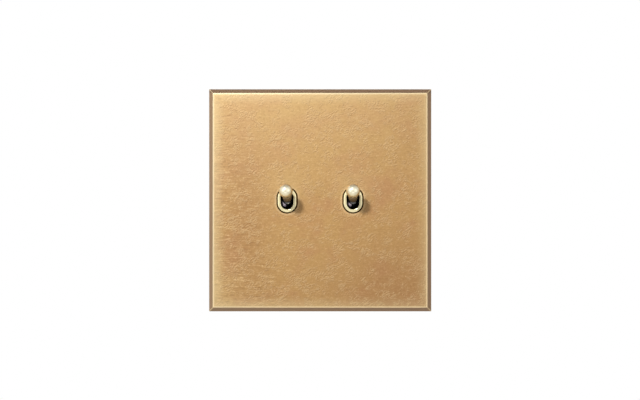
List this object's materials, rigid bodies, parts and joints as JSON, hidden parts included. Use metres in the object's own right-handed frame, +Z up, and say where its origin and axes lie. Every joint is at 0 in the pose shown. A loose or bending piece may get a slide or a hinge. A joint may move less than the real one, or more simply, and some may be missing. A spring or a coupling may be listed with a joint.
{
  "type": "dolly light switch",
  "caption": "Square bevelled brass wall plate with teardrop toggle dollies in oblong collars and the switch mechanism behind.",
  "frame": {"origin": "centre of the plate's rim in the plane of the wall", "axes": "+Y into the wall, away from the dollies; +Z up; +X to the right as seen from the front"},
  "size_m": [0.086, 0.0398, 0.086],
  "materials": {
    "aged_brass": "aged, softly brushed",
    "polished_brass": "polished",
    "terminal_brass": "machined",
    "black_nylon": "gloss",
    "black_moulding": "fine satin",
    "nylon": "natural",
    "zinc_steel": "zinc plated",
    "spring_steel": "drawn",
    "contact_silver": "silver"
  },
  "bodies": {
    "frame": {"front_plate": "aged_brass", "plate_studs": "terminal_brass", "snap_cups": "nylon", "yoke": "zinc_steel", "box_screws": "zinc_steel", "earth_terminal": "terminal_brass", "earth_screw": "zinc_steel", "bush_left": "polished_brass", "bush_right": "polished_brass", "pivot_pin_left": "spring_steel", "pivot_pin_right": "spring_steel", "fixed_contacts_left": "contact_silver", "fixed_contacts_right": "contact_silver", "upper_terminal_left": "terminal_brass", "upper_terminal_right": "terminal_brass", "lower_terminal_left": "terminal_brass", "lower_terminal_right": "terminal_brass", "common_terminal_left": "terminal_brass", "common_terminal_right": "terminal_brass", "terminal_screws_left": "zinc_steel", "terminal_screws_right": "zinc_steel", "housing_left": "black_moulding", "housing_right": "black_moulding", "housing_cover_left": "black_moulding", "housing_cover_right": "black_moulding", "module_screws_left": "zinc_steel", "module_screws_right": "zinc_steel"},
    "dolly_left": {"dolly_left": "polished_brass", "dolly_carrier_left": "black_nylon", "plunger_spring_left": "spring_steel"},
    "plunger_left": {"plunger_left": "nylon"},
    "rocker_left": {"rocker_left": "terminal_brass", "rocker_contacts_left": "contact_silver", "rocker_pin_left": "spring_steel"},
    "dolly_right": {"dolly_right": "polished_brass", "dolly_carrier_right": "black_nylon", "plunger_spring_right": "spring_steel"},
    "plunger_right": {"plunger_right": "nylon"},
    "rocker_right": {"rocker_right": "terminal_brass", "rocker_contacts_right": "contact_silver", "rocker_pin_right": "spring_steel"}
  },
  "joints": [
    {"name": "dolly_left_tilt", "type": "hinge", "parent": "frame", "child": "dolly_left", "pos_m": [-0.0127, -0.0012, 0], "axis": [1, 0, 0], "range_deg": [0, 32]},
    {"name": "rocker_left_rock", "type": "hinge", "parent": "frame", "child": "rocker_left", "pos_m": [-0.0127, 0.012, 0], "axis": [1, 0, 0], "range_deg": [-16, 0]},
    {"name": "plunger_left_slide", "type": "slide", "parent": "dolly_left", "child": "plunger_left", "axis": [0, -0.9613, 0.2756], "range_m": [0, 0.0005], "stiffness_N_per_m": 800, "springref_m": -0.002, "deforming": ["plunger_spring_left"]},
    {"name": "dolly_right_tilt", "type": "hinge", "parent": "frame", "child": "dolly_right", "pos_m": [0.0127, -0.0012, 0], "axis": [1, 0, 0], "range_deg": [0, 32]},
    {"name": "rocker_right_rock", "type": "hinge", "parent": "frame", "child": "rocker_right", "pos_m": [0.0127, 0.012, 0], "axis": [1, 0, 0], "range_deg": [-16, 0]},
    {"name": "plunger_right_slide", "type": "slide", "parent": "dolly_right", "child": "plunger_right", "axis": [0, -0.9613, 0.2756], "range_m": [0, 0.0005], "stiffness_N_per_m": 800, "springref_m": -0.002, "deforming": ["plunger_spring_right"]}
  ],
  "couplings": [
    {"joint": "rocker_left_rock", "follows": "dolly_left_tilt", "ratio": -0.5},
    {"joint": "rocker_right_rock", "follows": "dolly_right_tilt", "ratio": -0.5}
  ]
}
